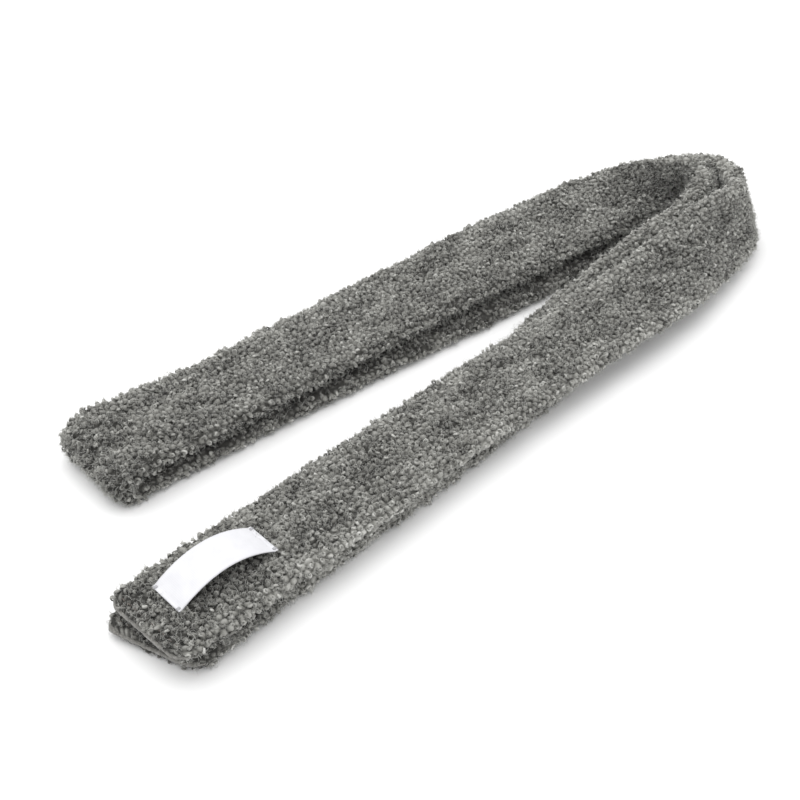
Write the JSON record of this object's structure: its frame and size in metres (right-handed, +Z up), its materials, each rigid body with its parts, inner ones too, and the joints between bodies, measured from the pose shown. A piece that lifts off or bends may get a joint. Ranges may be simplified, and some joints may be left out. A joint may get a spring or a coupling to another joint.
{
  "type": "folded fleece scarf",
  "caption": "Long narrow scarf of curly fleece, folded into two doubled arms round a standing U-turn, with a blank woven label near one end.",
  "frame": {"origin": "middle of the folded scarf's outline, on the plane it lies on", "axes": "+X along the folded scarf towards its U-turn, +Y towards the far arm, +Z up"},
  "size_m": [0.4834, 0.1636, 0.0511],
  "materials": {
    "curly_fleece": "grey boucle fleece, small curled loops, matt",
    "hem_edge": "smooth turned hem lip, matt",
    "thread": "twisted sewing thread, matt",
    "label_weave": "white woven label, fine satin weave, blank"
  },
  "bodies": {
    "root": {"floor_bend_back_ply": "curly_fleece", "floor_bend_face_ply": "curly_fleece", "floor_bend_seams": "thread", "floor_run_back_ply": "curly_fleece", "floor_run_face_ply": "curly_fleece", "floor_run_seams": "thread", "floor_turn_back_ply": "curly_fleece", "floor_turn_face_ply": "curly_fleece", "floor_turn_seams": "thread", "inner_loop_back_ply": "curly_fleece", "inner_loop_face_ply": "curly_fleece", "inner_loop_seams": "thread", "outer_loop_back_ply": "curly_fleece", "outer_loop_face_ply": "curly_fleece", "outer_loop_seams": "thread", "upper_bend_back_ply": "curly_fleece", "upper_bend_face_ply": "curly_fleece", "upper_bend_seams": "thread", "upper_run_back_ply": "curly_fleece", "upper_run_face_ply": "curly_fleece", "upper_run_seams": "thread"},
    "near_arm": {"label_rise_back_ply": "curly_fleece", "label_rise_face_ply": "curly_fleece", "label_rise_seams": "thread", "peel_bend_back_ply": "curly_fleece", "peel_bend_face_ply": "curly_fleece", "peel_bend_seams": "thread", "plain_end_back_ply": "curly_fleece", "plain_end_face_ply": "curly_fleece", "plain_end_hem": "hem_edge", "plain_end_seams": "thread", "plain_end_stitches": "thread", "plain_rise_back_ply": "curly_fleece", "plain_rise_face_ply": "curly_fleece", "plain_rise_seams": "thread", "plain_run_back_ply": "curly_fleece", "plain_run_face_ply": "curly_fleece", "plain_run_seams": "thread"},
    "label_arm": {"label_bend_back_ply": "curly_fleece", "label_bend_face_ply": "curly_fleece", "label_bend_seams": "thread", "label_run_back_ply": "curly_fleece", "label_run_face_ply": "curly_fleece", "label_run_seams": "thread"},
    "label_end": {"label_end_back_ply": "curly_fleece", "label_end_face_ply": "curly_fleece", "label_end_hem": "hem_edge", "label_end_seams": "thread", "label_end_stitches": "thread", "woven_label": "label_weave", "label_tacks": "thread"},
    "turnback": {"floor_end_back_ply": "curly_fleece", "floor_end_face_ply": "curly_fleece", "floor_end_seams": "thread", "mid_fold_back_ply": "curly_fleece", "mid_fold_face_ply": "curly_fleece", "mid_fold_seams": "thread", "upper_end_back_ply": "curly_fleece", "upper_end_face_ply": "curly_fleece", "upper_end_seams": "thread"}
  },
  "joints": [
    {"name": "arm_swing", "type": "hinge", "parent": "root", "child": "near_arm", "pos_m": [0.22507, -0.00694, 0.0224], "axis": [0, 0, 1], "range_deg": [0, 60], "deforming": ["inner_loop_back_ply", "inner_loop_face_ply", "inner_loop_seams", "outer_loop_back_ply", "outer_loop_face_ply", "outer_loop_seams"]},
    {"name": "label_arm_peel", "type": "hinge", "parent": "near_arm", "child": "label_arm", "pos_m": [0.02459, -0.04446, 0.0146], "axis": [0, 1, 0], "range_deg": [0, 100], "deforming": ["peel_bend_back_ply", "peel_bend_face_ply", "peel_bend_seams"]},
    {"name": "label_end_lift", "type": "hinge", "parent": "label_arm", "child": "label_end", "pos_m": [-0.15293, -0.05146, 0.0146], "axis": [0, 1, 0], "range_deg": [0, 120], "deforming": ["label_bend_back_ply", "label_bend_face_ply", "label_bend_seams"]},
    {"name": "turnback_lift", "type": "hinge", "parent": "root", "child": "turnback", "pos_m": [-0.11821, 0.05018, 0.00965], "axis": [0, 1, 0], "range_deg": [0, 80], "deforming": ["floor_bend_back_ply", "floor_bend_face_ply", "floor_bend_seams", "upper_bend_back_ply", "upper_bend_face_ply", "upper_bend_seams"]}
  ]
}
